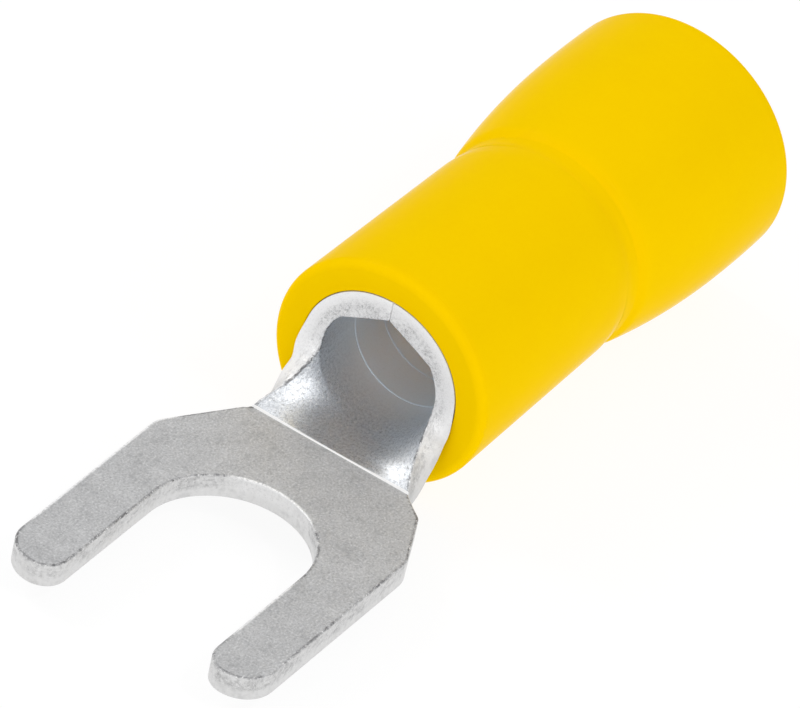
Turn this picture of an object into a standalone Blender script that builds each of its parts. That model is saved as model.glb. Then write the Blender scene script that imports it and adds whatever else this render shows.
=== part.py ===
"""Insulated fork terminal for a 5 mm stud and wire of 4 to 6 square millimetres.

The terminal is one sheet of tin-plated copper. Its flat blank is laid out first, with the
serrations pressed into it, and each point of the blank is then carried to its place on the
formed part: flat tongue, scoop and rolled barrel. The sleeve is a turned shell pushed over the
barrel.

Metres, +Z up, +X from the wire towards the fork, +Y across. The origin is on the underside of
the tongue, on its centre line, between the slot and the fold.
"""

import math

import bmesh
import bpy
from mathutils import Matrix, Vector

MM = 0.001

# Sheet and tongue
SHEET = 0.8 * MM
SLOT_WIDTH = 5.3 * MM
TINE_WIDTH = 1.9 * MM
SLOT_AHEAD = 4.0 * MM
TINE_LENGTH = 5.2 * MM
TIP_INNER_ROUND = 0.8 * MM
FOLD_BEHIND = 1.4 * MM

# Shoulders and neck
SHOULDER_ANGLE = math.radians(29)
SHOULDER_CORNER_ROUND = 0.9 * MM
NECK_WIDTH = 5.4 * MM
NECK_STEP = 0.55 * MM
NECK_LEAD = 0.65 * MM
NECK_CORNER_ROUND = 0.35 * MM
NECK_INNER_ROUND = 0.3 * MM
NECK_FILLET = 1.0 * MM

# Scoop and barrel
SCOOP_LENGTH = 2.0 * MM
SCOOP_EASE = 1.2
BARREL_DIAMETER = 5.45 * MM
BARREL_LENGTH = 7.6 * MM
BARREL_WALL = 0.7 * MM
BARREL_DROP = 0.15 * MM
SEAM_GAP = 0.05 * MM
SEAM_STRAIGHT = math.radians(50)

# Serrations pressed into the bore
SERRATION_COUNT = 3
SERRATION_FIRST = 1.87 * MM
SERRATION_PITCH = 1.45 * MM
SERRATION_WIDTH = 0.16 * MM
SERRATION_DEPTH = 0.07 * MM

# Sleeve
SLEEVE_CLEARANCE = 0.07 * MM
SLEEVE_FRONT_WALL = 0.94 * MM
GRIP_LENGTH = 8.65 * MM
GRIP_DRAFT = 0.13 * MM
GRIP_SHOULDER_LENGTH = 1.0 * MM
GRIP_SHOULDER_FALL = 0.07 * MM
GRIP_END_LENGTH = 0.34 * MM
GRIP_END_FALL = 0.125 * MM
FRONT_LIP_ROUND = 0.3 * MM
FRONT_BORE_ROUND = 0.1 * MM
GROOVE_STEP = 0.17 * MM
GROOVE_RISE = 0.5 * MM
BELL_LENGTH = 7.8 * MM
BELL_SWELL = 0.59 * MM
BELL_CREST = 5.9 * MM
BELL_EASE = 2.2
BELL_WALL = 0.78 * MM
RIM_ROUND = 0.3 * MM
FUNNEL_WALL = 1.05 * MM
FUNNEL_LENGTH = 3.6 * MM

# Facets
SCOOP_ROWS = 12
ROLL_COLUMNS = 48
SLEEVE_FACETS = 64
CORNER_FACETS = 6
SLOT_FACETS = 24
BELL_FACETS = 14
BELL_FACET_GROWTH = 1.6
SHARP_EDGE = math.radians(25)

# Places worked out from the sizes above
SLOT_RADIUS = SLOT_WIDTH / 2
FORK_HALF_WIDTH = SLOT_RADIUS + TINE_WIDTH
TIP_X = SLOT_AHEAD + TINE_LENGTH
FOLD_X = -FOLD_BEHIND
MOUTH_X = FOLD_X - SCOOP_LENGTH
BARREL_END_X = MOUTH_X - BARREL_LENGTH
ROLL_RADIUS = (BARREL_DIAMETER - SHEET) / 2
BORE_RADIUS = BARREL_DIAMETER / 2 - BARREL_WALL
AXIS_HEIGHT = BARREL_DIAMETER / 2 - BARREL_DROP
BARREL_HALF_BLANK = math.pi * ROLL_RADIUS - SEAM_GAP / 2
SERRATIONS_X = [
    MOUTH_X - SERRATION_FIRST - index * SERRATION_PITCH for index in range(SERRATION_COUNT)
]
NUDGE = 0.001 * MM


def clear_scene():
    """Remove the objects that the scene starts with."""
    for old in list(bpy.data.objects):
        bpy.data.objects.remove(old, do_unlink=True)


def new_collection(name):
    """Make a collection in the scene."""
    collection = bpy.data.collections.new(name)
    bpy.context.scene.collection.children.link(collection)
    return collection


def new_material(name, colour, roughness, metallic):
    """Make a plain Principled material."""
    material = bpy.data.materials.new(name)
    material.use_nodes = True
    shader = material.node_tree.nodes["Principled BSDF"]
    shader.inputs["Base Color"].default_value = (*colour, 1.0)
    shader.inputs["Roughness"].default_value = roughness
    shader.inputs["Metallic"].default_value = metallic
    return material


def rounded(corners, closed=True):
    """Turn corners, each (x, y, radius), into points with an arc at each radius.

    A corner with no radius stays one point. The ends of an open line stay as they are.
    """
    points = []
    count = len(corners)
    for index, (x, y, radius) in enumerate(corners):
        here = Vector((x, y))
        at_end = not closed and index in (0, count - 1)
        if radius == 0 or at_end:
            points.append(here)
            continue
        before = Vector(corners[index - 1][:2]) - here
        after = Vector(corners[(index + 1) % count][:2]) - here
        to_before = before.normalized()
        to_after = after.normalized()
        half_angle = to_before.angle(to_after) / 2
        reach = radius / math.tan(half_angle)
        centre = here + (to_before + to_after).normalized() * radius / math.sin(half_angle)
        start = here + to_before * reach - centre
        sweep = start.angle_signed(here + to_after * reach - centre)
        for step in range(CORNER_FACETS + 1):
            turned = start.copy()
            turned.rotate(Matrix.Rotation(-sweep * step / CORNER_FACETS, 2))
            points.append(centre + turned)
    return points


def half_outline():
    """Outline of one half of the flat blank, from the slot's root round to the barrel's end."""
    points = []
    for step in range(SLOT_FACETS // 2 + 1):
        angle = math.pi - math.pi / SLOT_FACETS * step
        points.append(
            Vector((SLOT_AHEAD + SLOT_RADIUS * math.cos(angle), SLOT_RADIUS * math.sin(angle)))
        )
    neck_half = NECK_WIDTH / 2
    foot_x = FOLD_X + NECK_LEAD
    foot_y = neck_half + NECK_STEP
    shoulder_x = foot_x + (FORK_HALF_WIDTH - foot_y) / math.tan(SHOULDER_ANGLE)
    edge = [
        (SLOT_AHEAD, SLOT_RADIUS, 0),
        (TIP_X, SLOT_RADIUS, TIP_INNER_ROUND),
        (TIP_X, FORK_HALF_WIDTH, TINE_WIDTH - TIP_INNER_ROUND - NUDGE),
        (shoulder_x, FORK_HALF_WIDTH, SHOULDER_CORNER_ROUND),
        (foot_x, foot_y, NECK_CORNER_ROUND),
        (FOLD_X, neck_half, NECK_INNER_ROUND),
        (MOUTH_X, neck_half, NECK_FILLET),
        (MOUTH_X, BARREL_HALF_BLANK, 0),
        (BARREL_END_X, BARREL_HALF_BLANK, 0),
        (BARREL_END_X, 0, 0),
    ]
    return points + rounded(edge, closed=False)[1:-1]


def flat_blank():
    """The blank before forming: a flat sheet from z = 0 to z = SHEET, scored where it will bend."""
    half = half_outline()
    outline = half + [Vector((point.x, -point.y)) for point in reversed(half[1:])]
    blank = bmesh.new()
    corners = [blank.verts.new((point.x, point.y, SHEET)) for point in outline]
    blank.faces.new(corners)
    stations = [FOLD_X - SCOOP_LENGTH * row / SCOOP_ROWS for row in range(SCOOP_ROWS + 1)]
    for centre in SERRATIONS_X:
        stations += [centre - SERRATION_WIDTH / 2, centre, centre + SERRATION_WIDTH / 2]
    for station in stations:
        score(blank, Vector((station, 0, 0)), Vector((1, 0, 0)))
    column = 2 * math.pi * ROLL_RADIUS / ROLL_COLUMNS
    for index in range(1 - ROLL_COLUMNS // 2, ROLL_COLUMNS // 2):
        score(blank, Vector((0, index * column, 0)), Vector((0, 1, 0)), behind_fold=True)
    many_sided = [face for face in blank.faces if len(face.verts) > 4]
    bmesh.ops.triangulate(blank, faces=many_sided)
    bmesh.ops.recalc_face_normals(blank, faces=blank.faces[:])
    bmesh.ops.solidify(blank, geom=blank.faces[:], thickness=SHEET)
    bmesh.ops.recalc_face_normals(blank, faces=blank.faces[:])
    return blank


def score(blank, point, normal, behind_fold=False):
    """Cut the sheet's faces along a line, without parting it."""
    faces = [
        face
        for face in blank.faces
        if not behind_fold or face.calc_center_median().x < FOLD_X
    ]
    edges = {edge for face in faces for edge in face.edges}
    corners = {corner for face in faces for corner in face.verts}
    bmesh.ops.bisect_plane(
        blank,
        geom=[*corners, *edges, *faces],
        dist=NUDGE,
        plane_co=point,
        plane_no=normal,
    )


def press_serrations(blank):
    """Press a V groove across the blank's upper side at each serration."""
    for corner in blank.verts:
        on_top = corner.co.z > SHEET / 2
        if on_top and any(abs(corner.co.x - centre) < NUDGE for centre in SERRATIONS_X):
            corner.co.z -= SERRATION_DEPTH


def curvature(x):
    """Curvature across the sheet's middle surface at a station along the part."""
    if x >= FOLD_X:
        return 0.0
    run = min((FOLD_X - x) / SCOOP_LENGTH, 1.0)
    return (1 - (1 - run) ** SCOOP_EASE) / ROLL_RADIUS


def centre_height(x):
    """Height of the sheet's middle surface on the centre line."""
    run = min(max((FOLD_X - x) / SCOOP_LENGTH, 0.0), 1.0)
    return SHEET / 2 - BARREL_DROP * math.sin(run * math.pi / 2)


def middle(x, across):
    """Point of the formed middle surface for a point of the flat blank."""
    bend = curvature(x)
    turn = across * bend
    if abs(turn) < NUDGE:
        return Vector((x, across, centre_height(x)))
    return Vector((x, math.sin(turn) / bend, centre_height(x) + (1 - math.cos(turn)) / bend))


def thinning(x):
    """How much thinner the sheet is than on the tongue, taken off its upper side."""
    run = min(max((FOLD_X - x) / SCOOP_LENGTH, 0.0), 1.0)
    return (SHEET - BARREL_WALL) * run


def seam_fill(x, across):
    """How far the bore wall stands in where a rolled end stays straight up to the seam."""
    from_seam = math.pi - abs(across) * curvature(x)
    if from_seam >= SEAM_STRAIGHT or x > MOUTH_X + NUDGE:
        return 0.0
    mid = SEAM_STRAIGHT / 2
    return BORE_RADIUS * (1 - math.cos(mid) / math.cos(mid - max(from_seam, 0.0)))


def formed(flat):
    """Carry one point of the blank to its place on the formed terminal."""
    x, across, height = flat
    if x > FOLD_X + NUDGE:
        return flat.copy()
    along_run = middle(x + NUDGE, across) - middle(x - NUDGE, across)
    across_run = middle(x, across + NUDGE) - middle(x, across - NUDGE)
    normal = along_run.cross(across_run).normalized()
    offset = height - SHEET / 2
    if offset > 0:
        offset += seam_fill(x, across) - thinning(x)
    return middle(x, across) + normal * offset


def build_terminal(collection, material):
    """The stamped and rolled terminal."""
    blank = flat_blank()
    press_serrations(blank)
    for corner in blank.verts:
        corner.co = formed(corner.co)
    bmesh.ops.recalc_face_normals(blank, faces=blank.faces[:])
    mesh = bpy.data.meshes.new("terminal")
    blank.to_mesh(mesh)
    blank.free()
    mesh.shade_smooth()
    mesh.set_sharp_from_angle(angle=SHARP_EDGE)
    terminal = bpy.data.objects.new("terminal", mesh)
    terminal.data.materials.append(material)
    collection.objects.link(terminal)
    return terminal


def bell_radius(behind_groove, groove_radius):
    """Outside radius of the bell at a distance behind the groove."""
    rise = min(behind_groove / GROOVE_RISE, 1.0)
    step = GROOVE_STEP * rise * rise * (3 - 2 * rise)
    short_of_crest = abs(1 - behind_groove / BELL_CREST)
    return groove_radius + step + BELL_SWELL * (1 - short_of_crest**BELL_EASE)


def sleeve_profile():
    """Closed section of the sleeve, as (distance along +X from the origin, radius) points."""
    pocket = BARREL_DIAMETER / 2 + SLEEVE_CLEARANCE
    front = pocket + SLEEVE_FRONT_WALL
    grip_back = front - GRIP_DRAFT
    grip_end = grip_back - GRIP_SHOULDER_FALL
    groove = grip_end - GRIP_END_FALL
    groove_x = MOUTH_X - GRIP_LENGTH
    rim_x = groove_x - BELL_LENGTH
    bell = []
    for step in range(1, BELL_FACETS):
        behind = BELL_LENGTH * (step / BELL_FACETS) ** BELL_FACET_GROWTH
        bell.append((groove_x - behind, bell_radius(behind, groove), 0))
    rim = bell_radius(BELL_LENGTH, groove)
    wire_bore = rim - BELL_WALL
    throat = groove - FUNNEL_WALL
    stop_x = BARREL_END_X - SLEEVE_CLEARANCE
    corners = [
        (MOUTH_X, pocket, FRONT_BORE_ROUND),
        (MOUTH_X, front, FRONT_LIP_ROUND),
        (groove_x + GRIP_SHOULDER_LENGTH, grip_back, 0),
        (groove_x + GRIP_END_LENGTH, grip_end, 0),
        (groove_x, groove, 0),
        *bell,
        (rim_x, rim, RIM_ROUND),
        (rim_x, wire_bore, RIM_ROUND),
        (groove_x - FUNNEL_LENGTH, wire_bore, 0),
        (groove_x, throat, 0),
        (stop_x, throat, 0),
        (stop_x, pocket, 0),
    ]
    return rounded(corners)


def build_sleeve(collection, material):
    """The insulating sleeve, turned about the barrel's axis."""
    profile = sleeve_profile()
    mesh = bpy.data.meshes.new("sleeve")
    corners = [(radius, 0, along) for along, radius in profile]
    edges = [(index, (index + 1) % len(corners)) for index in range(len(corners))]
    mesh.from_pydata(corners, edges, [])
    sleeve = bpy.data.objects.new("sleeve", mesh)
    turn = sleeve.modifiers.new("turn", "SCREW")
    turn.axis = "Z"
    turn.steps = SLEEVE_FACETS
    turn.render_steps = SLEEVE_FACETS
    turn.use_merge_vertices = True
    turn.merge_threshold = NUDGE
    turn.use_smooth_shade = True
    sleeve.location = (0, 0, AXIS_HEIGHT)
    sleeve.rotation_euler = (0, math.radians(90), 0)
    sleeve.data.materials.append(material)
    collection.objects.link(sleeve)
    return sleeve


def main():
    """Build the terminal and its sleeve."""
    clear_scene()
    collection = new_collection("fork_terminal")
    tin = new_material("tin_plate", (0.66, 0.66, 0.66), 0.35, 1.0)
    vinyl = new_material("yellow_vinyl", (0.95, 0.61, 0.0), 0.45, 0.0)
    build_terminal(collection, tin)
    build_sleeve(collection, vinyl)


if __name__ == "__main__":
    main()
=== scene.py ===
"""Looks of an insulated fork terminal.

Two pieces stand in for the two solids of the frame: the pressed and rolled terminal of
tin-plated copper, and the moulded sleeve of yellow vinyl. Lengths are in metres.
"""

import logging
import math
from dataclasses import dataclass, field
from enum import Enum

import bmesh
import bpy
from mathutils import Matrix, Vector, noise
from mathutils.bvhtree import BVHTree


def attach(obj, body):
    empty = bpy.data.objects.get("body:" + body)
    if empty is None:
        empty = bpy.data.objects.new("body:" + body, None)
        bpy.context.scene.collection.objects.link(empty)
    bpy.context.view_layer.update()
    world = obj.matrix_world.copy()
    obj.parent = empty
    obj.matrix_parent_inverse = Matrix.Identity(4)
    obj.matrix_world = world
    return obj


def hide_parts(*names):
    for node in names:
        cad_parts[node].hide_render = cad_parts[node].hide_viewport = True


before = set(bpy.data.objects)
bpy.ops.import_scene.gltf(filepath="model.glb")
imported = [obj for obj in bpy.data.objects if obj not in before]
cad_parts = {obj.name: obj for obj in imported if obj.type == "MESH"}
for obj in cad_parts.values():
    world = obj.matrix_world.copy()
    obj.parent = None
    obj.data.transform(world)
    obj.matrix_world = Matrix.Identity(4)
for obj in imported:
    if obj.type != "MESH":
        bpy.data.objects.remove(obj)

LOG = logging.getLogger("fork_terminal")
MM = 0.001
NUDGE = 0.001 * MM
UV_PER_METRE = 100.0
NOISE_SEED = 1
MOTTLE_DETAIL = 3.0
SCRATCH_DETAIL = 1.5
SCRATCH_CONTRAST = 14.0
Colour = tuple[float, float, float, float]
Scales = tuple[float, float, float]
Socket = bpy.types.NodeSocket


class Side(Enum):
    """The two sides of the terminal, as the sign of Y."""

    RIGHT = 1
    LEFT = -1


class Slot(Enum):
    """Material slots that the record names."""

    TIN = "tin_plate"
    VINYL = "yellow_vinyl"


def clamp(value: float) -> float:
    """Hold a number between 0 and 1."""
    return min(max(value, 0.0), 1.0)


def ease(value: float) -> float:
    """Smooth step from 0 to 1."""
    held = clamp(value)
    return held * held * (3 - 2 * held)


class Bench:
    """Adds and joins the nodes of one node tree."""

    def __init__(self, tree: bpy.types.NodeTree) -> None:
        """Take the tree to work on.

        Args:
            tree: the node tree that gets the nodes.
        """
        self.tree = tree
        self.masks: dict[str, Socket] = {}

    def add(self, kind: str, **settings: object) -> bpy.types.Node:
        """Add a node.

        Args:
            kind: the node's type name.
            settings: attributes of the node to set.

        Returns:
            The new node.
        """
        node = self.tree.nodes.new(kind)
        for name, value in settings.items():
            setattr(node, name, value)
        return node

    def feed(self, socket: Socket, value: object) -> None:
        """Give a socket a link or a constant.

        Args:
            socket: the socket to feed.
            value: another socket, or a plain value.
        """
        if isinstance(value, Socket):
            self.tree.links.new(value, socket)
        else:
            socket.default_value = value

    def math(self, operation: str, *values: object, clamped: bool = False) -> Socket:
        """A Math node.

        Args:
            operation: name of the operation.
            values: its inputs, sockets or numbers.
            clamped: whether the result is held between 0 and 1.

        Returns:
            The result's socket.
        """
        node = self.add("ShaderNodeMath", operation=operation, use_clamp=clamped)
        for socket, value in zip(node.inputs, values):
            self.feed(socket, value)
        return node.outputs[0]

    def blend(self, share: object, first: object, second: object) -> Socket:
        """Mix two colours.

        Args:
            share: how much of the second colour shows.
            first: a colour or a socket.
            second: a colour or a socket.

        Returns:
            The mixed colour's socket.
        """
        node = self.add("ShaderNodeMix", data_type="RGBA")
        self.feed(node.inputs["Factor"], share)
        self.feed(node.inputs[6], first)
        self.feed(node.inputs[7], second)
        return node.outputs[2]

    def spread(
        self, value: Socket, low: float, high: float, to_low: float, to_high: float
    ) -> Socket:
        """Carry one range of a value onto another, and hold it there.

        Args:
            value: the value, a socket.
            low: where the first range starts.
            high: where the first range ends.
            to_low: what low becomes.
            to_high: what high becomes.

        Returns:
            The result's socket.
        """
        node = self.add("ShaderNodeMapRange")
        for name, number in (
            ("Value", value),
            ("From Min", low),
            ("From Max", high),
            ("To Min", to_low),
            ("To Max", to_high),
        ):
            self.feed(node.inputs[name], number)
        return node.outputs["Result"]

    def mask(self, name: str) -> Socket:
        """A mask kept on the mesh, read by one node however often it is used."""
        if name not in self.masks:
            self.masks[name] = self.add("ShaderNodeAttribute", attribute_name=name).outputs["Fac"]
        return self.masks[name]

    def group(self, tree: bpy.types.NodeTree, **values: object) -> bpy.types.Node:
        """Place a node group.

        Args:
            tree: the group's tree.
            values: its inputs by name, with _ for a blank.

        Returns:
            The group's node.
        """
        node = self.add("ShaderNodeGroup", node_tree=tree)
        for name, value in values.items():
            self.feed(node.inputs[name.replace("_", " ")], value)
        return node

    def mottled(self, tree: bpy.types.NodeTree, place: Socket, scales: Scales) -> Socket:
        """Place the mottling group.

        Args:
            tree: the group's tree.
            place: the coordinates that it reads.
            scales: its broad scale, its fine scale and the share of the fine one.

        Returns:
            The mottling's socket.
        """
        broad, fine, share = scales
        node = self.group(tree, Vector=place, Scale=broad, Fine_Scale=fine, Fine_Share=share)
        return node.outputs["Value"]

    def relieve(
        self, shader: bpy.types.Node, height: Socket, strength: float, depth: float
    ) -> None:
        """Give a shader a fine relief.

        Args:
            shader: the material's shader node.
            height: the relief's height, a socket.
            strength: how strongly it shows.
            depth: the distance that a height of 1 stands for.
        """
        bump = self.add("ShaderNodeBump")
        bump.inputs["Strength"].default_value = strength
        bump.inputs["Distance"].default_value = depth
        self.feed(bump.inputs["Height"], height)
        self.feed(shader.inputs["Normal"], bump.outputs["Normal"])


def new_group(
    name: str, inputs: dict[str, str], outputs: dict[str, str]
) -> tuple[Bench, bpy.types.Node, bpy.types.Node]:
    """Start a shader node group.

    Args:
        name: the group's name.
        inputs: socket types by name.
        outputs: socket types by name.

    Returns:
        A bench for its tree, its input node and its output node.
    """
    tree = bpy.data.node_groups.new(name, "ShaderNodeTree")
    for label, kind in inputs.items():
        tree.interface.new_socket(name=label, in_out="INPUT", socket_type=kind)
    for label, kind in outputs.items():
        tree.interface.new_socket(name=label, in_out="OUTPUT", socket_type=kind)
    bench = Bench(tree)
    return bench, bench.add("NodeGroupInput"), bench.add("NodeGroupOutput")


def mottle_group() -> bpy.types.NodeTree:
    """Soft mottling in two sizes: an even, random value about 0.5 over the surface.

    Returns:
        The group's tree.
    """
    bench, given, result = new_group(
        "mottle",
        {
            "Vector": "NodeSocketVector",
            "Scale": "NodeSocketFloat",
            "Fine Scale": "NodeSocketFloat",
            "Fine Share": "NodeSocketFloat",
        },
        {"Value": "NodeSocketFloat"},
    )
    broad = bench.add("ShaderNodeTexNoise", noise_dimensions="3D")
    fine = bench.add("ShaderNodeTexNoise", noise_dimensions="3D")
    for node, scale in ((broad, "Scale"), (fine, "Fine Scale")):
        bench.feed(node.inputs["Vector"], given.outputs["Vector"])
        bench.feed(node.inputs["Scale"], given.outputs[scale])
        node.inputs["Detail"].default_value = MOTTLE_DETAIL
    mix = bench.add("ShaderNodeMix", data_type="FLOAT")
    bench.feed(mix.inputs["Factor"], given.outputs["Fine Share"])
    bench.feed(mix.inputs[2], broad.outputs["Fac"])
    bench.feed(mix.inputs[3], fine.outputs["Fac"])
    bench.feed(result.inputs["Value"], mix.outputs[0])
    return bench.tree


def scratch_group() -> bpy.types.NodeTree:
    """Short thin scratches that lie about one direction, as a mask.

    Returns:
        The group's tree.
    """
    bench, given, result = new_group(
        "short_scratches",
        {
            "Vector": "NodeSocketVector",
            "Turn": "NodeSocketVector",
            "Stretch": "NodeSocketVector",
            "Amount": "NodeSocketFloat",
        },
        {"Mask": "NodeSocketFloat"},
    )
    turned = bench.add("ShaderNodeMapping", vector_type="TEXTURE")
    bench.feed(turned.inputs["Vector"], given.outputs["Vector"])
    bench.feed(turned.inputs["Rotation"], given.outputs["Turn"])
    bench.feed(turned.inputs["Scale"], given.outputs["Stretch"])
    lines = bench.add("ShaderNodeTexNoise", noise_dimensions="2D")
    bench.feed(lines.inputs["Vector"], turned.outputs["Vector"])
    lines.inputs["Scale"].default_value = 1.0
    lines.inputs["Detail"].default_value = SCRATCH_DETAIL
    level = bench.math("SUBTRACT", lines.outputs["Fac"], given.outputs["Amount"])
    mask = bench.math("MULTIPLY", level, SCRATCH_CONTRAST, clamped=True)
    bench.feed(result.inputs["Mask"], mask)
    return bench.tree


def new_material(name: str) -> tuple[bpy.types.Material, Bench, bpy.types.Node]:
    """Start a material.

    Args:
        name: the material's name.

    Returns:
        The material, a bench for its tree, and its shader node.
    """
    material = bpy.data.materials.new(name)
    material.use_nodes = True
    return material, Bench(material.node_tree), material.node_tree.nodes["Principled BSDF"]


def grey(value: float) -> Colour:
    """A neutral colour."""
    return (value, value, value, 1.0)


@dataclass(frozen=True)
class Patterns:
    """Patterns of the tin plate, as sockets of its material."""

    place: Socket
    flecks: Socket
    clouds: Socket
    smears: Socket
    marks: Socket


@dataclass(frozen=True)
class TinPlate:
    """Tin-plated copper sheet: matt rolled faces, brighter sheared walls, rubbed bends, and painted
    light: highlights on the crease, the barrel's mouth and the far edges, shade on the near edges,
    cool casts in the scoop and the bore.

    The scales of each mottling are its broad scale, its fine scale and the share of the fine one.
    """

    sheet: Colour = (0.462, 0.464, 0.471, 1.0)
    fleck_dark: Colour = (0.27, 0.272, 0.28, 1.0)
    fleck_pale: Colour = (0.68, 0.682, 0.69, 1.0)
    scratch: Colour = grey(0.74)
    wall: Colour = (0.665, 0.662, 0.660, 1.0)
    wall_pale: Colour = grey(0.71)
    wall_dark: Colour = grey(0.42)
    # near-white painted highlight on the cut faces at the barrel's mouth
    mouth_highlight: Colour = (0.90, 0.90, 0.905, 1.0)
    # burnished scoop colour with a painted cool cast that cancels the sleeve's yellow reflected light
    rubbed: Colour = (0.67, 0.695, 0.73, 1.0)
    rubbed_dark: Colour = grey(0.30)
    rubbed_pale: Colour = grey(0.92)
    # the bore is painted paler and cooler than the outer sheet, offsetting its shade and the sleeve's
    # yellow light
    bore: Colour = (0.91, 0.93, 0.95, 1.0)
    # bluer further into the bore: a painted cool cast against the sleeve's yellow light
    deep_bore_cool_cast: Colour = (0.81, 0.91, 1.0, 1.0)
    shaded: Colour = grey(0.55)
    # painted shade along the top edges that face the camera
    painted_edge_shade: Colour = (0.14, 0.14, 0.145, 1.0)
    # near-white painted highlight: the fold's crease line, the far edges and glint specks on the
    # edges
    painted_highlight: Colour = (0.95, 0.95, 0.95, 1.0)
    sheen: float = 0.16
    rubbed_sheen: float = 0.95
    bore_sheen: float = 0.6
    wall_sheen: float = 0.35
    sheet_roughness: float = 0.46
    rubbed_roughness: float = 0.40
    bore_roughness: float = 0.42
    wall_roughness: float = 0.40
    fleck_scales: Scales = (145.0, 360.0, 0.35)
    cloud_scales: Scales = (12.0, 60.0, 0.5)
    smear_scales: Scales = (95.0, 280.0, 0.55)
    scratch_turns: tuple[tuple[float, float], ...] = ((0.35, 0.70), (-0.85, 0.70), (1.9, 0.71))
    scratch_stretch: tuple[float, float, float] = (0.030, 0.0028, 1.0)
    scratch_share: float = 0.4
    stripe_stretch: tuple[float, float, float] = (70.0, 12.0, 1.0)
    torn_relief: float = 2.2
    wall_relief: float = 0.8
    bump_strength: float = 0.6
    bump_depth: float = 0.008 * MM

    def make(self, mottle: bpy.types.NodeTree, scratches: bpy.types.NodeTree) -> bpy.types.Material:
        """Make the material.

        Args:
            mottle: the mottling group.
            scratches: the scratch group.

        Returns:
            The material.
        """
        material, bench, shader = new_material("tin_plate_finish")
        pattern = self.patterns(bench, mottle, scratches)
        colour = bench.blend(bench.mask("wall"), self.face(bench, pattern), self.side(bench, pattern))
        # painted highlight on the cut faces at the barrel's mouth, broken by grey blotches
        dull = bench.spread(pattern.smears, 0.34, 0.50, 0.35, 0.0)
        colour = bench.blend(bench.mask("mouth_highlight"), colour, bench.blend(dull, self.mouth_highlight, self.shaded))
        colour = self.line_edges(bench, pattern, colour)
        # painted highlight: a near-white line along the fold's crease
        colour = bench.blend(bench.mask("crease_highlight"), colour, self.painted_highlight)
        bench.feed(shader.inputs["Base Color"], colour)
        bench.feed(shader.inputs["Roughness"], self.roughness(bench, pattern))
        bench.feed(shader.inputs["Metallic"], self.metal(bench))
        height = self.relief(bench, pattern)
        bench.relieve(shader, height, self.bump_strength, self.bump_depth)
        return material

    def patterns(
        self, bench: Bench, mottle: bpy.types.NodeTree, scratches: bpy.types.NodeTree
    ) -> Patterns:
        """Place the mottling and the scratches.

        Args:
            bench: the material's bench.
            mottle: the mottling group.
            scratches: the scratch group.

        Returns:
            The patterns' sockets.
        """
        place = bench.add("ShaderNodeUVMap", uv_map="blank").outputs["UV"]
        hair = []
        for turn, amount in self.scratch_turns:
            node = bench.group(
                scratches,
                Vector=place,
                Turn=(0.0, 0.0, turn),
                Stretch=self.scratch_stretch,
                Amount=amount,
            )
            hair.append(node.outputs["Mask"])
        return Patterns(
            place=place,
            flecks=bench.mottled(mottle, place, self.fleck_scales),
            clouds=bench.mottled(mottle, place, self.cloud_scales),
            smears=bench.mottled(mottle, place, self.smear_scales),
            marks=bench.math("MAXIMUM", bench.math("MAXIMUM", hair[0], hair[1]), hair[2]),
        )

    def face(self, bench: Bench, pattern: Patterns) -> Socket:
        """Colour of the rolled faces, of the scoop and of the bore, the bore painted paler and cooler
        to offset its shade and the sleeve's yellow light.

        Args:
            bench: the material's bench.
            pattern: the patterns' sockets.

        Returns:
            The colour's socket.
        """
        flecks, clouds, smears = pattern.flecks, pattern.clouds, pattern.smears
        face = bench.blend(bench.spread(flecks, 0.30, 0.48, 1.0, 0.0), self.sheet, self.fleck_dark)
        face = bench.blend(bench.spread(flecks, 0.52, 0.70, 0.0, 1.0), face, self.fleck_pale)
        face = bench.blend(bench.spread(clouds, 0.36, 0.48, 0.42, 0.0), face, self.fleck_dark)
        face = bench.blend(bench.spread(clouds, 0.53, 0.66, 0.0, 0.35), face, self.fleck_pale)
        scratched = bench.math("MULTIPLY", pattern.marks, self.scratch_share)
        face = bench.blend(scratched, face, self.scratch)
        # burnished scoop, its cool cast painted against the sleeve's yellow reflected light
        scoop = bench.spread(smears, 0.34, 0.50, 0.9, 0.0)
        scoop = bench.blend(scoop, self.rubbed, self.rubbed_dark)
        scoop = bench.blend(bench.spread(smears, 0.52, 0.64, 0.0, 1.0), scoop, self.rubbed_pale)
        face = bench.blend(bench.mask("rubbed"), face, scoop)
        # the bore's painted paler, cooler colour, bluer further in
        inner = bench.blend(bench.mask("deep"), self.bore, self.deep_bore_cool_cast)
        inner = bench.blend(bench.spread(flecks, 0.3, 0.5, 0.2, 0.0), inner, self.shaded)
        return bench.blend(bench.mask("bore"), face, inner)

    def side(self, bench: Bench, pattern: Patterns) -> Socket:
        """Colour of the sheared walls, with faint upright stripes.

        Args:
            bench: the material's bench.
            pattern: the patterns' sockets.

        Returns:
            The colour's socket.
        """
        striped = bench.add("ShaderNodeMapping", vector_type="POINT")
        bench.feed(striped.inputs["Vector"], pattern.place)
        striped.inputs["Scale"].default_value = self.stripe_stretch
        stripes = bench.add("ShaderNodeTexNoise", noise_dimensions="2D")
        bench.feed(stripes.inputs["Vector"], striped.outputs["Vector"])
        stripes.inputs["Scale"].default_value = 1.0
        stripes.inputs["Detail"].default_value = 2.0
        pale = bench.spread(stripes.outputs["Fac"], 0.3, 0.7, 0.0, 0.5)
        side = bench.blend(pale, self.wall, self.wall_pale)
        dull = bench.spread(pattern.clouds, 0.36, 0.50, 0.35, 0.0)
        side = bench.blend(dull, side, self.wall_dark)
        return bench.blend(bench.spread(pattern.smears, 0.30, 0.42, 0.4, 0.0), side, self.fleck_dark)

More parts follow.
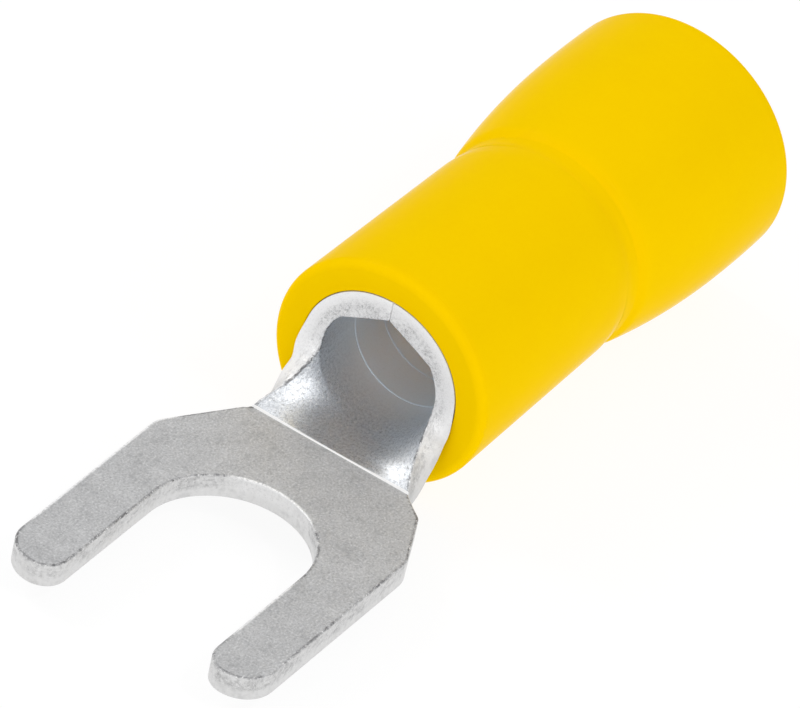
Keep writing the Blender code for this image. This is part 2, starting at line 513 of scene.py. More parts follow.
    def line_edges(self, bench: Bench, pattern: Patterns, colour: Socket) -> Socket:
        """Paint the sheared edges: broken painted shade on the near side, painted highlights on the
        far side, painted glints.

        Args:
            bench: the material's bench.
            pattern: the patterns' sockets.
            colour: the colour under the edges.

        Returns:
            The colour's socket.
        """
        clouds, smears = pattern.clouds, pattern.smears
        edge, far = bench.mask("edge"), bench.mask("far")
        # painted shade on the near edges, broken up by the smears and clouds
        near_edge_shade = bench.math("MULTIPLY", edge, bench.math("SUBTRACT", 1.0, far))
        edge_shade_breakup = bench.spread(smears, 0.38, 0.60, 2.4, 0.3)
        ragged_edge_shade = bench.math("MULTIPLY", near_edge_shade, edge_shade_breakup, clamped=True)
        broken_edge_shade = bench.math("MULTIPLY", ragged_edge_shade, bench.spread(clouds, 0.40, 0.58, 1.0, 0.2))
        colour = bench.blend(broken_edge_shade, colour, self.painted_edge_shade)
        # painted highlights on the edges turned away, and painted glint specks on all edges
        far_edge_highlight = bench.math("MULTIPLY", edge, far)
        far_edge_highlight = bench.math("MULTIPLY", far_edge_highlight, bench.spread(smears, 0.38, 0.54, 0.0, 1.0))
        edge_glints = bench.math("MULTIPLY", edge, bench.spread(smears, 0.56, 0.64, 0.0, 1.0))
        return bench.blend(bench.math("MAXIMUM", far_edge_highlight, edge_glints), colour, self.painted_highlight)

    def roughness(self, bench: Bench, pattern: Patterns) -> Socket:
        """Roughness of the regions.

        Args:
            bench: the material's bench.
            pattern: the patterns' sockets.

        Returns:
            The roughness's socket.
        """
        high, low = self.sheet_roughness + 0.07, self.sheet_roughness - 0.07
        matt = bench.spread(pattern.flecks, 0.3, 0.7, high, low)
        high, low = self.rubbed_roughness + 0.14, self.rubbed_roughness - 0.12
        burnished = bench.spread(pattern.smears, 0.3, 0.7, high, low)
        layers = (
            (None, matt),
            (bench.mask("rubbed"), burnished),
            (bench.mask("bore"), self.bore_roughness),
            (bench.mask("wall"), self.wall_roughness),
        )
        return self.regions(bench, layers)

    def metal(self, bench: Bench) -> Socket:
        """How metallic the regions look.

        Args:
            bench: the material's bench.

        Returns:
            The value's socket.
        """
        layers = (
            (None, self.sheen),
            (bench.mask("rubbed"), self.rubbed_sheen),
            (bench.mask("bore"), self.bore_sheen),
            (bench.mask("wall"), self.wall_sheen),
            # the painted crease highlight stays fully diffuse
            (bench.mask("crease_highlight"), 0.0),
        )
        return self.regions(bench, layers)

    def relief(self, bench: Bench, pattern: Patterns) -> Socket:
        """Height of the fine relief, which the bore is free of.

        Args:
            bench: the material's bench.
            pattern: the patterns' sockets.

        Returns:
            The height's socket.
        """
        plain = bench.math("SUBTRACT", 1.0, bench.mask("bore"))
        torn = bench.math("MULTIPLY", pattern.smears, bench.mask("rubbed"))
        torn = bench.math("MULTIPLY", torn, self.torn_relief)
        scratched = bench.math("MULTIPLY", pattern.marks, self.scratch_share)
        relief = bench.math("ADD", pattern.flecks, scratched)
        relief = bench.math("MULTIPLY", bench.math("ADD", relief, torn), plain)
        sheared = bench.math("MULTIPLY", pattern.smears, bench.mask("wall"))
        sheared = bench.math("MULTIPLY", sheared, self.wall_relief)
        return bench.math("ADD", relief, sheared)

    @staticmethod
    def regions(bench: Bench, layers: tuple[tuple[object, object], ...]) -> Socket:
        """Lay one number over another, region by region.

        Args:
            bench: the material's bench.
            layers: pairs of a region's mask and its number; the first is the ground.

        Returns:
            The resulting number's socket.
        """
        result = layers[0][1]
        for region, number in layers[1:]:
            mixed = bench.add("ShaderNodeMix", data_type="FLOAT")
            bench.feed(mixed.inputs["Factor"], region)
            bench.feed(mixed.inputs[2], result)
            bench.feed(mixed.inputs[3], number)
            result = mixed.outputs[0]
        return result


@dataclass(frozen=True)
class YellowVinyl:
    """Moulded PVC: even semi-matt yellow with very faint mottling."""

    base: Colour = (0.96, 0.617, 0.0, 1.0)
    deep: Colour = (0.95, 0.604, 0.0, 1.0)
    roughness: float = 0.13
    gloss: float = 0.003
    cloud_scales: Scales = (900.0, 5200.0, 0.4)
    bump_strength: float = 0.25
    bump_depth: float = 0.003 * MM

    def make(self, mottle: bpy.types.NodeTree) -> bpy.types.Material:
        """Make the material.

        Args:
            mottle: the mottling group.

        Returns:
            The material.
        """
        material, bench, shader = new_material("yellow_vinyl_finish")
        place = bench.add("ShaderNodeTexCoord").outputs["Object"]
        cloud = bench.mottled(mottle, place, self.cloud_scales)
        colour = bench.blend(bench.spread(cloud, 0.35, 0.65, 0.0, 1.0), self.base, self.deep)
        bench.feed(shader.inputs["Base Color"], colour)
        rough = bench.spread(cloud, 0.3, 0.7, self.roughness - 0.03, self.roughness + 0.03)
        bench.feed(shader.inputs["Roughness"], rough)
        shader.inputs["Specular IOR Level"].default_value = self.gloss
        bench.relieve(shader, cloud, self.bump_strength, self.bump_depth)
        return material


@dataclass(frozen=True)
class Corner:
    """A corner of a flat outline, with the radius of its rounding."""

    x: float
    y: float
    radius: float = 0.0
    steps: int = 8


def round_corners(
    shape: bmesh.types.BMesh, points: list[bmesh.types.BMVert], ring: list[Corner]
) -> None:
    """Round those corners of a flat outline that have a radius.

    Args:
        shape: the mesh that holds the outline.
        points: the outline's points in the mesh.
        ring: the corners, in the points' order.
    """
    for index, item in enumerate(ring):
        if item.radius == 0:
            continue
        here = Vector((item.x, item.y))
        before = ring[index - 1]
        after = ring[(index + 1) % len(ring)]
        to_before = Vector((before.x, before.y)) - here
        to_after = Vector((after.x, after.y)) - here
        bmesh.ops.bevel(
            shape,
            geom=[points[index]],
            offset=item.radius / math.tan(to_before.angle(to_after) / 2),
            offset_type="OFFSET",
            segments=item.steps,
            profile=0.5,
            affect="VERTICES",
            material=-1,
        )


class Rim:
    """The blank's outline, for telling how far a point is from it and how far round it is."""

    def __init__(self, points: list[Vector]) -> None:
        """Keep the outline.

        Args:
            points: the outline's points in order, in the plane of the sheet.
        """
        self.points = points
        count = len(points)
        low = [Vector((point.x, point.y, -1.0 * MM)) for point in points]
        high = [Vector((point.x, point.y, 2.0 * MM)) for point in points]
        bands = [
            (index, (index + 1) % count, count + (index + 1) % count, count + index)
            for index in range(count)
        ]
        self.tree = BVHTree.FromPolygons(low + high, bands)
        self.runs = [0.0]
        for index in range(count - 1):
            self.runs.append(self.runs[-1] + (points[index + 1] - points[index]).length)

    def measure(self, place: Vector) -> tuple[float, float]:
        """Distance from the outline, and distance along it.

        Args:
            place: a point of the flat sheet.

        Returns:
            The two distances.
        """
        near, _, band, away = self.tree.find_nearest(place)
        along = Vector((near.x, near.y)) - self.points[band]
        return away, self.runs[band] + along.length


@dataclass
class Terminal:
    """The stamped and rolled terminal: fork, fold, scoop and barrel in one sheet."""

    finish: bpy.types.Material
    sheet: float = 0.8 * MM
    slot_width: float = 5.3 * MM
    tine_width: float = 1.9 * MM
    slot_ahead: float = 4.0 * MM
    tine_length: float = 5.2 * MM
    tip_inner_round: float = 0.8 * MM
    fold_x: float = -1.4 * MM
    neck_width: float = 5.6 * MM
    scoop_length: float = 2.0 * MM
    scoop_ease: float = 1.2
    barrel_diameter: float = 5.45 * MM
    barrel_wall: float = 0.7 * MM
    barrel_length: float = 7.6 * MM
    barrel_drop: float = 0.15 * MM
    seam_gap: float = 0.004 * MM
    seam_straight: float = math.radians(52)
    serration_count: int = 3
    serration_first: float = 1.87 * MM
    serration_pitch: float = 1.45 * MM
    serration_width: float = 0.08 * MM
    serration_depth: float = 0.022 * MM
    serration_fade: float = 0.3
    die_roll: float = 0.055 * MM
    burr_round: float = 0.025 * MM
    edge_band: float = 0.05 * MM
    edge_line: float = 0.045 * MM
    edge_fade: float = 0.045 * MM
    fold_step: float = 0.03 * MM
    fold_step_fade: float = 0.5 * MM
    fold_step_reach: float = 0.03 * MM
    fold_rows: tuple[float, ...] = (0.10, 0.01, 0.0, -0.03, -0.05, -0.058)
    scoop_rows: int = 28
    groove_rows: tuple[float, ...] = (-1.8, -1.2, -1.0, -0.5, 0.0, 0.5, 1.0, 1.2, 1.8)
    tongue_rows: int = 28
    tongue_row: float = 0.36 * MM
    tongue_columns: int = 12
    tongue_column: float = 0.37 * MM
    barrel_columns: int = 96
    wall_rows: tuple[float, ...] = (0.3, 0.55, 0.82)
    wave_height: float = 0.004 * MM
    wave_length: float = 3.2 * MM
    torn_length: float = 0.16 * MM
    sharp_angle: float = math.radians(32)
    mask_names: tuple[str, ...] = (
        "wall",
        "edge",
        "mouth_highlight",
        "rubbed",
        "crease_highlight",
        "bore",
        "deep",
        "far",
    )
    slants: dict[Side, float] = field(
        default_factory=lambda: {Side.RIGHT: 0.09 * MM, Side.LEFT: 0.17 * MM}
    )
    shoulders: dict[Side, tuple[float, float, float]] = field(
        default_factory=lambda: {
            Side.RIGHT: (1.22 * MM, -0.74 * MM, 3.66 * MM),
            Side.LEFT: (1.18 * MM, -1.22 * MM, 3.03 * MM),
        }
    )

    @property
    def half_width(self) -> float:
        """Half of the fork's width."""
        return self.slot_width / 2 + self.tine_width

    @property
    def tip_x(self) -> float:
        """Where the tines end."""
        return self.slot_ahead + self.tine_length

    @property
    def mouth_x(self) -> float:
        """Where the barrel starts."""
        return self.fold_x - self.scoop_length

    @property
    def barrel_end_x(self) -> float:
        """Where the barrel ends."""
        return self.mouth_x - self.barrel_length

    @property
    def roll_radius(self) -> float:
        """Radius of the sheet's middle surface in the barrel."""
        return (self.barrel_diameter - self.sheet) / 2

    @property
    def bore_radius(self) -> float:
        """Radius of the barrel's bore."""
        return self.barrel_diameter / 2 - self.barrel_wall

    def corners(self, side: Side) -> list[Corner]:
        """Corners of one half of the flat blank, from the slot's root to the barrel's end.

        Args:
            side: which half.

        Returns:
            The corners in order.
        """
        sign = side.value
        slot = self.slot_width / 2
        neck = self.neck_width / 2
        seam = math.pi * self.roll_radius - self.seam_gap / 2
        outer_round = self.tine_width - self.tip_inner_round - NUDGE
        shoulder_x, foot_x, foot_y = self.shoulders[side]
        half = [
            Corner(self.slot_ahead - slot, slot, slot - NUDGE, 40),
            Corner(self.tip_x, slot, self.tip_inner_round, 14),
            Corner(self.tip_x, self.half_width, outer_round, 18),
            Corner(shoulder_x, self.half_width, 0.9 * MM),
            Corner(foot_x, foot_y, 0.32 * MM),
            Corner(self.fold_x, neck, 0.3 * MM),
            Corner(self.mouth_x, neck, 1.0 * MM, 12),
            Corner(self.mouth_x, seam, 0.06 * MM, 3),
            Corner(self.barrel_end_x, seam, 0.1 * MM, 3),
        ]
        return [Corner(item.x, sign * item.y, item.radius, item.steps) for item in half]

    def outline(self) -> bmesh.types.BMesh:
        """The flat blank's top face, with its corners rounded.

        Returns:
            A mesh with that face.
        """
        right = self.corners(Side.RIGHT)
        left = self.corners(Side.LEFT)
        ring = [Corner(self.barrel_end_x, 0.0), *reversed(right), *left]
        blank = bmesh.new()
        points = [blank.verts.new((item.x, item.y, self.sheet)) for item in ring]
        blank.faces.new(points)
        round_corners(blank, points, ring)
        bmesh.ops.remove_doubles(blank, verts=blank.verts[:], dist=5 * NUDGE)
        return blank

    def blank(self) -> tuple[bmesh.types.BMesh, Rim]:
        """The flat blank with rounded edges, cut into a fine net of faces.

        Returns:
            The blank, and its outline.
        """
        blank = self.outline()
        ring = [Vector(corner.co[:2]) for corner in blank.faces[:][0].verts]
        start = min(range(len(ring)), key=lambda index: (ring[index].x, abs(ring[index].y)))
        rim = Rim(ring[start:] + ring[:start])
        bmesh.ops.recalc_face_normals(blank, faces=blank.faces[:])
        bmesh.ops.solidify(blank, geom=blank.faces[:], thickness=self.sheet)
        bmesh.ops.recalc_face_normals(blank, faces=blank.faces[:])
        heights = sorted({round(corner.co.z, 7) for corner in blank.verts})
        shift = self.sheet - heights[-1]
        bmesh.ops.translate(blank, verts=blank.verts[:], vec=(0, 0, shift))
        for height, offset, segments in ((self.sheet, self.die_roll, 4), (0.0, self.burr_round, 2)):
            edges = [
                edge
                for edge in blank.edges
                if all(abs(corner.co.z - height) < NUDGE for corner in edge.verts)
            ]
            bmesh.ops.bevel(
                blank,
                geom=edges,
                offset=offset,
                offset_type="OFFSET",
                segments=segments,
                profile=0.5,
                affect="EDGES",
                material=-1,
            )
        flat = [face for face in blank.faces if len(face.verts) > 20]
        for face in flat:
            bmesh.ops.inset_region(
                blank, faces=[face], thickness=self.edge_band, depth=0.0, use_even_offset=True
            )
        self.cut_net(blank)
        return blank, rim

    def cut_net(self, blank: bmesh.types.BMesh) -> None:
        """Cut the blank along lines, closely where it will bend.

        Args:
            blank: the blank to cut.
        """
        across = Vector((1, 0, 0))
        stations = [self.fold_x + row * MM for row in self.fold_rows]
        stations.append(self.mouth_x)
        for row in range(1, self.scoop_rows):
            stations.append(self.fold_x - self.scoop_length * row / self.scoop_rows)
        half = self.serration_width / 2
        for centre in self.serrations():
            stations += [centre + half * share for share in self.groove_rows]
        for row in range(1, self.tongue_rows + 1):
            stations.append(self.fold_x + self.tongue_row * row)
        for station in stations:
            self.cut(blank, Vector((station, 0, 0)), across)
        column = 2 * math.pi * self.roll_radius / self.barrel_columns
        for index in range(1 - self.barrel_columns // 2, self.barrel_columns // 2):
            self.cut(blank, Vector((0, index * column, 0)), Vector((0, 1, 0)), until=self.fold_x)
        for index in range(-self.tongue_columns, self.tongue_columns + 1):
            beside = Vector((0, index * self.tongue_column, 0))
            self.cut(blank, beside, Vector((0, 1, 0)), after=self.fold_x)
        for height in self.wall_rows:
            self.cut(blank, Vector((0, 0, self.sheet * height)), Vector((0, 0, 1)))
        many_sided = [face for face in blank.faces if len(face.verts) > 4]
        bmesh.ops.triangulate(blank, faces=many_sided)

    @staticmethod
    def cut(
        blank: bmesh.types.BMesh,
        point: Vector,
        normal: Vector,
        until: float = math.inf,
        after: float = -math.inf,
    ) -> None:
        """Cut the faces whose middle is between two stations, without parting them.

        Args:
            blank: the blank to cut.
            point: a point on the cutting plane.
            normal: the plane's normal.
            until: the station where the cut ends.
            after: the station where it starts.
        """
        faces = [face for face in blank.faces if after < face.calc_center_median().x < until]
        edges = {edge for face in faces for edge in face.edges}
        corners = {corner for face in faces for corner in face.verts}
        bmesh.ops.bisect_plane(
            blank, geom=[*corners, *edges, *faces], dist=NUDGE, plane_co=point, plane_no=normal
        )

    def serrations(self) -> list[float]:
        """Stations of the grooves in the bore."""
        return [
            self.mouth_x - self.serration_first - index * self.serration_pitch
            for index in range(self.serration_count)
        ]

    def curvature(self, x: float) -> float:
        """Curvature across the sheet's middle surface at a station."""
        run = clamp((self.fold_x - x) / self.scoop_length)
        return (1 - (1 - run) ** self.scoop_ease) / self.roll_radius

    def middle(self, x: float, across: float) -> Vector:
        """Point of the formed middle surface for a point of the flat blank.

        Args:
            x: station along the part.
            across: distance across the blank.

        Returns:
            The point.
        """
        run = clamp((self.fold_x - x) / self.scoop_length)
        height = self.sheet / 2 - self.barrel_drop * math.sin(run * math.pi / 2)
        bend = self.curvature(x)
        turn = across * bend
        if abs(turn) < NUDGE:
            return Vector((x, across, height))
        return Vector((x, math.sin(turn) / bend, height + (1 - math.cos(turn)) / bend))

    def stand_in(self, x: float, across: float, share: float) -> float:
        """How far the upper side stands off its place in a plain sheet.

        Args:
            x: station along the part.
            across: distance across the blank.
            share: 0 at the middle of the sheet, 1 at its upper side.

        Returns:
            The distance, towards the bore.
        """
        run = clamp((self.fold_x - x) / self.scoop_length)
        shift = -(self.sheet - self.barrel_wall) * ease(run)
        behind = self.fold_x - x
        if behind > 0:
            fade = 1 - ease(behind / self.fold_step_fade)
            shift += self.fold_step * clamp(behind / self.fold_step_reach) * fade
        from_seam = math.pi - abs(across) * self.curvature(x)
        if from_seam < self.seam_straight:
            mid = self.seam_straight / 2
            shift += self.bore_radius * (1 - math.cos(mid) / math.cos(mid - max(from_seam, 0.0)))
        for index, centre in enumerate(self.serrations()):
            depth = 1 - abs(x - centre) / (self.serration_width / 2)
            shift -= self.serration_depth * clamp(depth) * (1 - self.serration_fade * index)
        return shift * share

    def formed(self, flat: Vector) -> Vector:
        """Carry one point of the blank to its place on the formed terminal.

        Args:
            flat: the point on the flat blank.

        Returns:
            The formed point.
        """
        x, across, height = flat
        offset = height - self.sheet / 2
        if offset > 0:
            offset += self.stand_in(x, across, offset / (self.sheet / 2))
        if x > self.fold_x:
            wave = self.wave_height * noise.noise(flat / self.wave_length)
            return Vector((x, across, self.sheet / 2 + offset + wave))
        sloped = (self.middle(x - NUDGE, across) - self.middle(x + NUDGE, across)).normalized()
        tilt = ease((x - self.mouth_x) / (0.5 * MM)) * ease((self.fold_x - x) / (0.8 * MM))
        along_run = Vector((-1, 0, 0)).lerp(sloped, tilt)
        across_run = self.middle(x, across + NUDGE) - self.middle(x, across - NUDGE)
        normal = across_run.cross(along_run).normalized()
        return self.middle(x, across) + normal * offset

    def roughen(self, flat: Vector, inside: float) -> Vector:
        """Small torn shape of the neck's sheared edges.

        Args:
            flat: the point on the flat blank.
            inside: how far it is from the outline.

        Returns:
            The shift to add to the flat point.
        """
        if not self.mouth_x - 0.4 * MM < flat.x < self.fold_x + 0.1 * MM or flat.z < self.sheet / 2:
            return Vector((0, 0, 0))
        near = clamp(1 - inside / (0.2 * MM))
        beside_neck = clamp((3.6 * MM - abs(flat.y)) / (0.5 * MM))
        torn = 0.045 if flat.y < 0 else 0.012
        amount = (0.006 + torn * beside_neck) * MM * near
        return noise.noise_vector(flat / self.torn_length) * amount

    def slant(self, flat: Vector, inside: float) -> Vector:
        """Slope of the neck's sheared walls, whose lower side stands further out.

        Args:
            flat: the point on the flat blank.
            inside: how far it is from the outline.

        Returns:
            The shift to add to the flat point.
        """
        side = Side.RIGHT if flat.y > 0 else Side.LEFT
        near = clamp(1 - inside / (0.5 * MM)) * clamp(1 - flat.z / self.sheet)
        near *= ease((self.fold_x - 0.7 * MM - flat.x) / (0.6 * MM))
        near *= ease((flat.x - self.mouth_x + 0.2 * MM) / (0.15 * MM))
        near *= ease((4.2 * MM - abs(flat.y)) / (0.9 * MM))
        forward = ease(1 - (flat.x - self.mouth_x) / (1.0 * MM))
        way = Vector((forward, side.value * (1 - forward), 0)).normalized()
        return way * self.slants[side] * near

    def turned_away(self, flat: Vector) -> float:
        """How much the fork's edge at a point turns away and gets a painted highlight instead of
        painted shade.

        Args:
            flat: the point on the flat blank.

        Returns:
            A share from 0 to 1.
        """
        before_tip = ease((self.tip_x - 1.1 * MM - flat.x) / (0.8 * MM))
        away = before_tip * ease((-flat.y - self.half_width + 0.6 * MM) / (0.3 * MM))
        if flat.x > self.slot_ahead and 0 < flat.y < self.slot_width / 2 + 0.4 * MM:
            away = max(away, before_tip * ease((flat.x - self.slot_ahead) / (0.8 * MM)))
        if flat.x > 0 and abs(flat.y) < 2.2 * MM:
            away = max(away, ease((self.slot_ahead - 2.0 * MM - flat.x) / (0.5 * MM)))
        return away

    def mask_values(self, flat: Vector, inside: float) -> dict[str, float]:
        """What each mask says at a point.

        Args:
            flat: the point on the flat blank.
            inside: how far it is from the outline.

        Returns:
            The masks' values by name.
        """
        values = dict.fromkeys(self.mask_names, 0.0)
        upper = flat.z > self.sheet / 2
        wall = clamp(1 - inside / (self.die_roll if upper else self.burr_round))
        values["wall"] = wall
        # painted highlight on the cut faces at the barrel's mouth, further along the left neck wall
        # than the right
        if self.mouth_x - 0.12 * MM < flat.x < self.mouth_x + 1.4 * MM:
            reach = (1.3 if flat.y < 0 else 0.5) * MM
            values["mouth_highlight"] = wall * ease((self.mouth_x + reach - flat.x) / (0.6 * MM))
        if flat.x > self.fold_x:
            values["far"] = self.turned_away(flat)
        if upper:
            # band along the top edges that carries the painted edge shade and highlights
            values["edge"] = clamp(1.25 - abs(inside - self.edge_line) / self.edge_fade)
            values["bore"] = ease((self.mouth_x + 0.05 * MM - flat.x) / (1.0 * MM))
            # depth into the bore, which carries its painted cool cast
            values["deep"] = clamp((self.mouth_x - flat.x) / (3.5 * MM))
            values["rubbed"] = ease((self.fold_x + 0.02 * MM - flat.x) / (0.1 * MM))
            # painted highlight along the fold's crease line
            if self.fold_x - 0.052 * MM < flat.x < self.fold_x + 0.005 * MM:
                values["crease_highlight"] = 1.0
        return values

    def build(self) -> bpy.types.Object:
        """Build the terminal.

        Returns:
            The piece, with its masks, its UV map and its material.
        """
        shape, rim = self.blank()
        masks = {name: shape.verts.layers.float.new(name) for name in self.mask_names}
        layer = shape.loops.layers.uv.new("blank")
        measured = {corner: rim.measure(corner.co) for corner in shape.verts}
        for face in shape.faces:
            upright = abs(face.normal.z) < 0.35
            for loop in face.loops:
                flat = loop.vert.co
                if upright:
                    place = Vector((measured[loop.vert][1], flat.z - 30 * MM))
                else:
                    place = Vector((flat.x, flat.y + (0 if face.normal.z > 0 else 30 * MM)))
                loop[layer].uv = place * UV_PER_METRE
        for corner, (inside, _) in measured.items():
            for name, value in self.mask_values(corner.co, inside).items():
                corner[masks[name]] = value
        for corner, (inside, _) in measured.items():
            shift = self.roughen(corner.co, inside) + self.slant(corner.co, inside)
            corner.co = self.formed(corner.co + shift)
        bmesh.ops.recalc_face_normals(shape, faces=shape.faces[:])
        mesh = smooth_mesh("pressed_terminal", shape, self.sharp_angle)
        return place_piece("pressed_terminal", mesh, self.finish, "terminal")


@dataclass
class Sleeve:
    """The moulded sleeve: rounded lip, slightly tapered grip, groove and bell."""

    finish: bpy.types.Material
    front_x: float = -3.4 * MM
    axis_height: float = 2.575 * MM
    pocket: float = 2.74 * MM
    front_radius: float = 3.735 * MM
    grip_length: float = 8.65 * MM
    grip_draft: float = 0.13 * MM
    shoulder_length: float = 1.0 * MM
    shoulder_fall: float = 0.07 * MM
    end_length: float = 0.34 * MM
    end_fall: float = 0.125 * MM
    lip_round: float = 0.3 * MM
    groove_step: float = 0.17 * MM
    groove_rise: float = 0.5 * MM
    easing: float = 0.10 * MM
    groove_easing: float = 0.25 * MM
    groove_middle: float = 0.15 * MM
    groove_reach: float = 0.45 * MM
    groove_fade: float = 0.25 * MM
    bell_length: float = 7.8 * MM
    bell_swell: float = 0.59 * MM
    bell_crest: float = 5.9 * MM
    bell_ease: float = 2.2
    bell_wall: float = 0.78 * MM
    rim_round: float = 0.3 * MM
    funnel_wall: float = 1.05 * MM
    funnel_length: float = 3.6 * MM
    stop_x: float = -11.07 * MM
    pocket_round: float = 0.05 * MM
    funnel_round: float = 0.8 * MM
    throat_round: float = 0.6 * MM
    stop_round: float = 0.1 * MM
    near_start: float = 1.5 * MM
    near_row: float = 0.05 * MM
    near_rows: int = 49
    far_start: float = -1.0 * MM
    far_row: float = 0.34 * MM
    far_rows: int = 20
    turns: int = 192
    sharp_angle: float = math.radians(40)

    def outer(self, ahead: float) -> float:
        """Outside radius with every corner eased.

        Args:
            ahead: distance ahead of the groove.

        Returns:
            The radius.
        """
        beside = abs(ahead - self.groove_middle)
        more = ease((self.groove_reach - beside) / self.groove_fade)
        reach = self.easing + self.groove_easing * more
        window = [ahead + reach * step / 6 for step in range(-6, 7)]
        return sum(self.plain_outer(place) for place in window) / len(window)

    def plain_outer(self, ahead: float) -> float:
        """Outside radius with corners left sharp.

        Args:
            ahead: distance ahead of the groove.

        Returns:
            The radius.
        """
        grip_back = self.front_radius - self.grip_draft
        grip_end = grip_back - self.shoulder_fall
        groove = grip_end - self.end_fall
        if ahead <= 0:
            return self.bell_radius(-ahead, groove)
        if ahead <= self.end_length:
            return groove + self.end_fall * ahead / self.end_length
        if ahead <= self.shoulder_length:
            share = (ahead - self.end_length) / (self.shoulder_length - self.end_length)
            return grip_end + self.shoulder_fall * share
        share = (ahead - self.shoulder_length) / (self.grip_length - self.shoulder_length)
        return grip_back + self.grip_draft * share

    def bell_radius(self, behind: float, groove: float) -> float:
        """Outside radius of the bell.

        Args:
            behind: distance behind the groove.
            groove: the groove's radius.

        Returns:
            The radius.
        """
        short = abs(1 - behind / self.bell_crest)
        step = self.groove_step * ease(behind / self.groove_rise)
        return groove + step + self.bell_swell * (1 - short**self.bell_ease)

    def section(self) -> list[Corner]:
        """Corners of the sleeve's section.

        Returns:
            The corners, with x along the part and y as radius.
        """
        front = self.front_radius
        groove_x = self.front_x - self.grip_length
        rim_x = groove_x - self.bell_length
        rim = self.outer(-self.bell_length)
        groove = self.outer(0.0)
        near = [self.near_start - self.near_row * step for step in range(self.near_rows)]
        far = [self.far_start - self.far_row * step for step in range(self.far_rows)]
        bell = [Corner(groove_x + ahead, self.outer(ahead)) for ahead in near + far]
        throat = groove - self.funnel_wall
        bore = rim - self.bell_wall
        return [
            Corner(self.front_x, self.pocket, self.pocket_round, 4),
            Corner(self.front_x, front, self.lip_round, 8),
            *bell,
            Corner(rim_x, rim, self.rim_round, 8),
            Corner(rim_x, bore, self.rim_round, 8),
            Corner(groove_x - self.funnel_length, bore, self.funnel_round, 6),
            Corner(groove_x, throat, self.throat_round, 6),
            Corner(self.stop_x, throat, self.stop_round, 3),
            Corner(self.stop_x, self.pocket, self.pocket_round, 2),
        ]

    def build(self) -> bpy.types.Object:
        """Build the sleeve.

        Returns:
            The piece, with its material.
        """
        ring = self.section()
        shape = bmesh.new()
        points = [shape.verts.new((item.x, 0.0, item.y)) for item in ring]
        shape.faces.new(points)
        round_corners(shape, points, ring)
        bmesh.ops.delete(shape, geom=shape.faces[:], context="FACES_ONLY")
        bmesh.ops.spin(
            shape,
            geom=shape.verts[:] + shape.edges[:],
            cent=(0, 0, 0),
            axis=(1, 0, 0),
            angle=math.tau,
            steps=self.turns,
            use_merge=True,
        )
        bmesh.ops.remove_doubles(shape, verts=shape.verts[:], dist=NUDGE)
        bmesh.ops.translate(shape, verts=shape.verts[:], vec=(0, 0, self.axis_height))
        bmesh.ops.recalc_face_normals(shape, faces=shape.faces[:])
        mesh = smooth_mesh("moulded_sleeve", shape, self.sharp_angle)
        return place_piece("moulded_sleeve", mesh, self.finish, "sleeve")


def smooth_mesh(name: str, shape: bmesh.types.BMesh, sharp_angle: float) -> bpy.types.Mesh:
    """Turn a finished shape into a smoothly shaded mesh.

    Args:
        name: the mesh's name.
        shape: the shape, which is freed.
        sharp_angle: the angle between faces past which an edge stays sharp.

    Returns:
        The mesh.
    """
    mesh = bpy.data.meshes.new(name)
    shape.to_mesh(mesh)
    shape.free()
    mesh.shade_smooth()
    mesh.set_sharp_from_angle(angle=sharp_angle)
    return mesh


def place_piece(
    name: str, mesh: bpy.types.Mesh, finish: bpy.types.Material, node: str
) -> bpy.types.Object:
    """Put a finished mesh into the scene in place of a solid of the frame.

    Args:
        name: the piece's name.
        mesh: its mesh, in place.
        finish: its material.
        node: the solid that it stands for.

    Returns:
        The piece.
    """
    piece = bpy.data.objects.new(name, mesh)
    mesh.materials.append(finish)
    bpy.context.scene.collection.objects.link(piece)
    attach(piece, "root")
    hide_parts(node)
    return piece


@dataclass(frozen=True)
class Softbox:
    """A soft rectangular lamp aimed at the part."""

    name: str
    place: tuple[float, float, float]
    width: float
    height: float
    watts: float


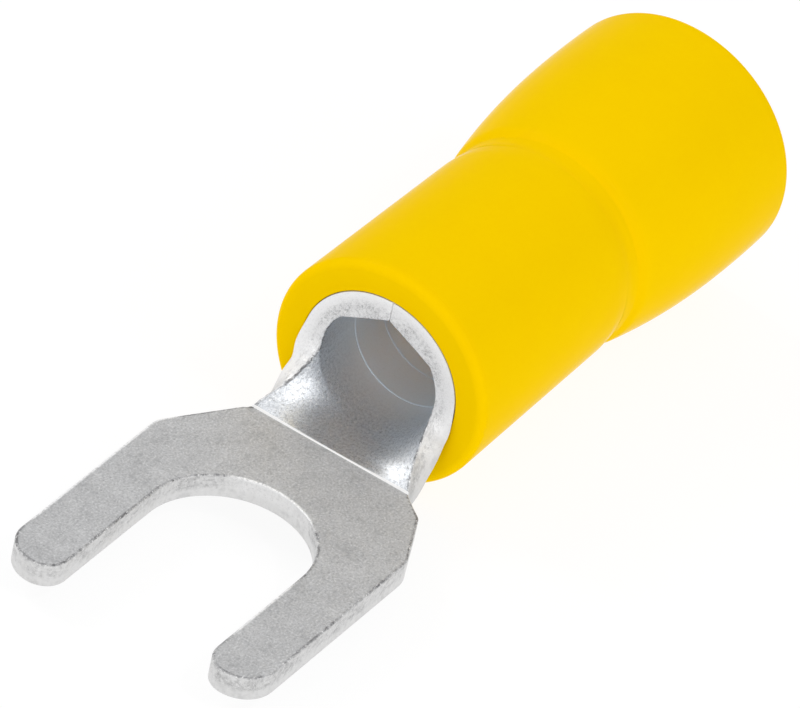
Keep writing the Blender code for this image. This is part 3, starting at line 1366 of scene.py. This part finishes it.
@dataclass
class Studio:
    """Camera, pale floor, lamps and surroundings."""

    eye: tuple[float, float, float] = (0.26747271, 0.13347153, 0.24079401)
    right: tuple[float, float, float] = (-0.54995484, 0.81771180, 0.16999144)
    up: tuple[float, float, float] = (-0.44637466, -0.45980127, 0.76767992)
    lens: float = 585.79
    lip_contact: tuple[float, float] = (-3.7 * MM, -1.168 * MM)
    bell_contact: tuple[float, float] = (-17.95 * MM, -1.603 * MM)
    target: tuple[float, float, float] = (-4 * MM, 0.0, 2 * MM)
    floor_size: float = 2.0
    floor_tone: float = 0.14
    floor_glow: float = 0.88
    ambient: float = 0.62
    softboxes: tuple[Softbox, ...] = (
        Softbox("front_left", (0.040, -0.345, 0.355), 0.11, 0.22, 0.32),
        Softbox("right_side", (-0.009, 0.410, 0.287), 0.15, 0.15, 0.34),
        Softbox("right_high", (0.023, 0.264, 0.424), 0.07, 0.05, 0.20),
        Softbox("left_high", (-0.116, -0.366, 0.323), 0.05, 0.12, 0.26),
        Softbox("overhead", (-0.170, 0.020, 0.470), 0.40, 0.40, 0.03),
        Softbox("front_low", (0.475, 0.085, 0.130), 0.30, 0.30, 0.48),
    )

    def build_camera(self) -> None:
        """Place the camera where the photograph was taken from."""
        camera = bpy.data.cameras.new("camera")
        camera.lens = self.lens
        camera.clip_start = 0.01
        camera.clip_end = 10.0
        body = bpy.data.objects.new("camera", camera)
        right, up = Vector(self.right), Vector(self.up)
        pose = Matrix((right, up, right.cross(up))).transposed().to_4x4()
        pose.translation = Vector(self.eye)
        body.matrix_world = pose
        bpy.context.scene.collection.objects.link(body)
        bpy.context.scene.camera = body

    def build_floor(self) -> None:
        """Lay the floor under the sleeve's lip and its bell."""
        lip_x, lip_z = self.lip_contact
        bell_x, bell_z = self.bell_contact
        tilt = math.atan2(bell_z - lip_z, lip_x - bell_x)
        shape = bmesh.new()
        bmesh.ops.create_grid(shape, x_segments=2, y_segments=2, size=self.floor_size)
        bmesh.ops.rotate(shape, verts=shape.verts[:], matrix=Matrix.Rotation(tilt, 3, "Y"))
        bmesh.ops.translate(shape, verts=shape.verts[:], vec=(lip_x, 0, lip_z))
        mesh = bpy.data.meshes.new("floor")
        shape.to_mesh(mesh)
        shape.free()
        floor = bpy.data.objects.new("floor", mesh)
        bpy.context.scene.collection.objects.link(floor)
        material, _, shader = new_material("pale_floor")
        shader.inputs["Base Color"].default_value = grey(self.floor_tone)
        shader.inputs["Roughness"].default_value = 0.9
        shader.inputs["Specular IOR Level"].default_value = 0.0
        shader.inputs["Emission Strength"].default_value = self.floor_glow
        shader.inputs["Emission Color"].default_value = grey(1.0)
        mesh.materials.append(material)

    def build_lamps(self) -> None:
        """Hang the softboxes, each aimed at the part."""
        for box in self.softboxes:
            lamp = bpy.data.lights.new(box.name, "AREA")
            lamp.shape = "RECTANGLE"
            lamp.size = box.width
            lamp.size_y = box.height
            lamp.energy = box.watts
            holder = bpy.data.objects.new(box.name, lamp)
            holder.location = box.place
            aim = Vector(self.target) - Vector(box.place)
            holder.rotation_mode = "QUATERNION"
            holder.rotation_quaternion = aim.to_track_quat("-Z", "Y")
            holder.visible_camera = False
            bpy.context.scene.collection.objects.link(holder)

    def build_surroundings(self) -> None:
        """Plain pale surroundings: white where they are seen or mirrored, softer as light."""
        world = bpy.data.worlds.new("surroundings")
        bpy.context.scene.world = world
        world.use_nodes = True
        bench = Bench(world.node_tree)
        back = world.node_tree.nodes["Background"]
        back.inputs["Color"].default_value = grey(1.0)
        path = bench.add("ShaderNodeLightPath")
        shown = bench.math("MAXIMUM", path.outputs["Is Camera Ray"], path.outputs["Is Glossy Ray"])
        shown = bench.math("MAXIMUM", shown, path.outputs["Is Transmission Ray"])
        strength = bench.spread(shown, 0.0, 1.0, self.ambient, 1.0)
        bench.feed(back.inputs["Strength"], strength)

    def build(self) -> None:
        """Build the whole studio."""
        self.build_camera()
        self.build_floor()
        self.build_lamps()
        self.build_surroundings()


def main() -> None:
    """Build the pieces and the studio around the frame."""
    logging.basicConfig(level=logging.INFO)
    noise.seed_set(NOISE_SEED)
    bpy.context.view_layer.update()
    bpy.context.scene.view_settings.view_transform = "Standard"
    mottle = mottle_group()
    scratches = scratch_group()
    for part in (
        Terminal(finish=TinPlate().make(mottle, scratches)),
        Sleeve(finish=YellowVinyl().make(mottle)),
    ):
        piece = part.build()
        piece.data.calc_loop_triangles()
        LOG.info("%s: %d triangles", piece.name, len(piece.data.loop_triangles))
    Studio().build()


if __name__ == "__main__":
    main()
